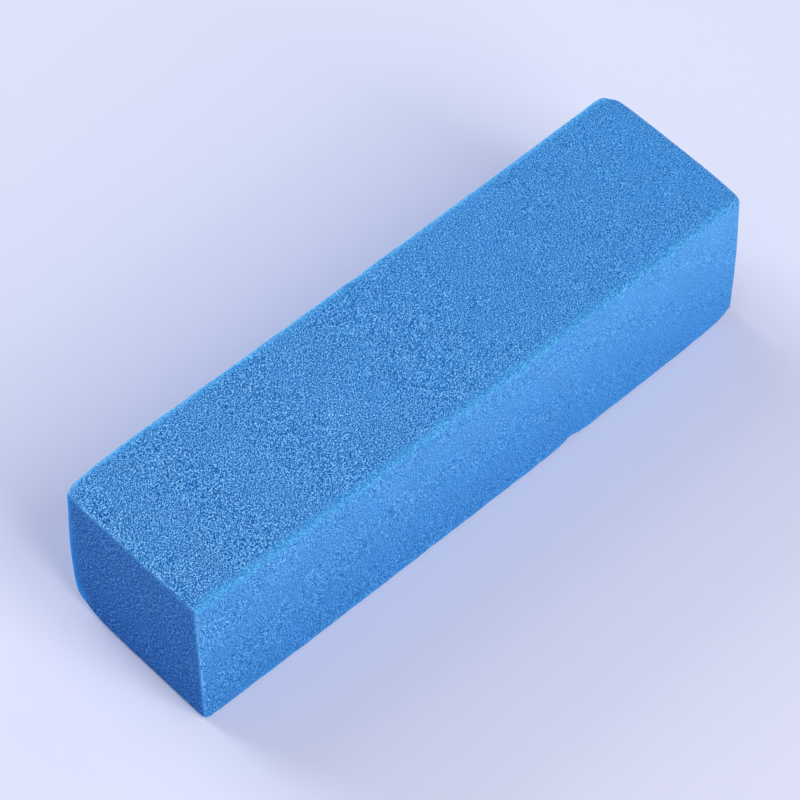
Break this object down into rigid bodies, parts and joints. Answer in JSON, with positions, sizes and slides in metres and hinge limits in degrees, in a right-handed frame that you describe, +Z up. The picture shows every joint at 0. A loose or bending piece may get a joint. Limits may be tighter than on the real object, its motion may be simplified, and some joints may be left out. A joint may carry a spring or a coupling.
{
  "type": "nail buffer block",
  "caption": "Rectangular foam nail buffer block with blue abrasive coats on its long faces and bare cut foam ends.",
  "frame": {"origin": "middle of the underside", "axes": "+X along the block, +Y to its back, +Z up"},
  "size_m": [0.095, 0.025, 0.025],
  "materials": {
    "foam": "matte",
    "bond_resin": "satin",
    "grit": "matte"
  },
  "bodies": {
    "root": {"foam_core": "foam", "bond_coat_top": "bond_resin", "bond_coat_bottom": "bond_resin", "bond_coat_front": "bond_resin", "bond_coat_back": "bond_resin", "grit_coat_top": "grit", "grit_coat_bottom": "grit", "grit_coat_front": "grit", "grit_coat_back": "grit"}
  },
  "joints": []
}
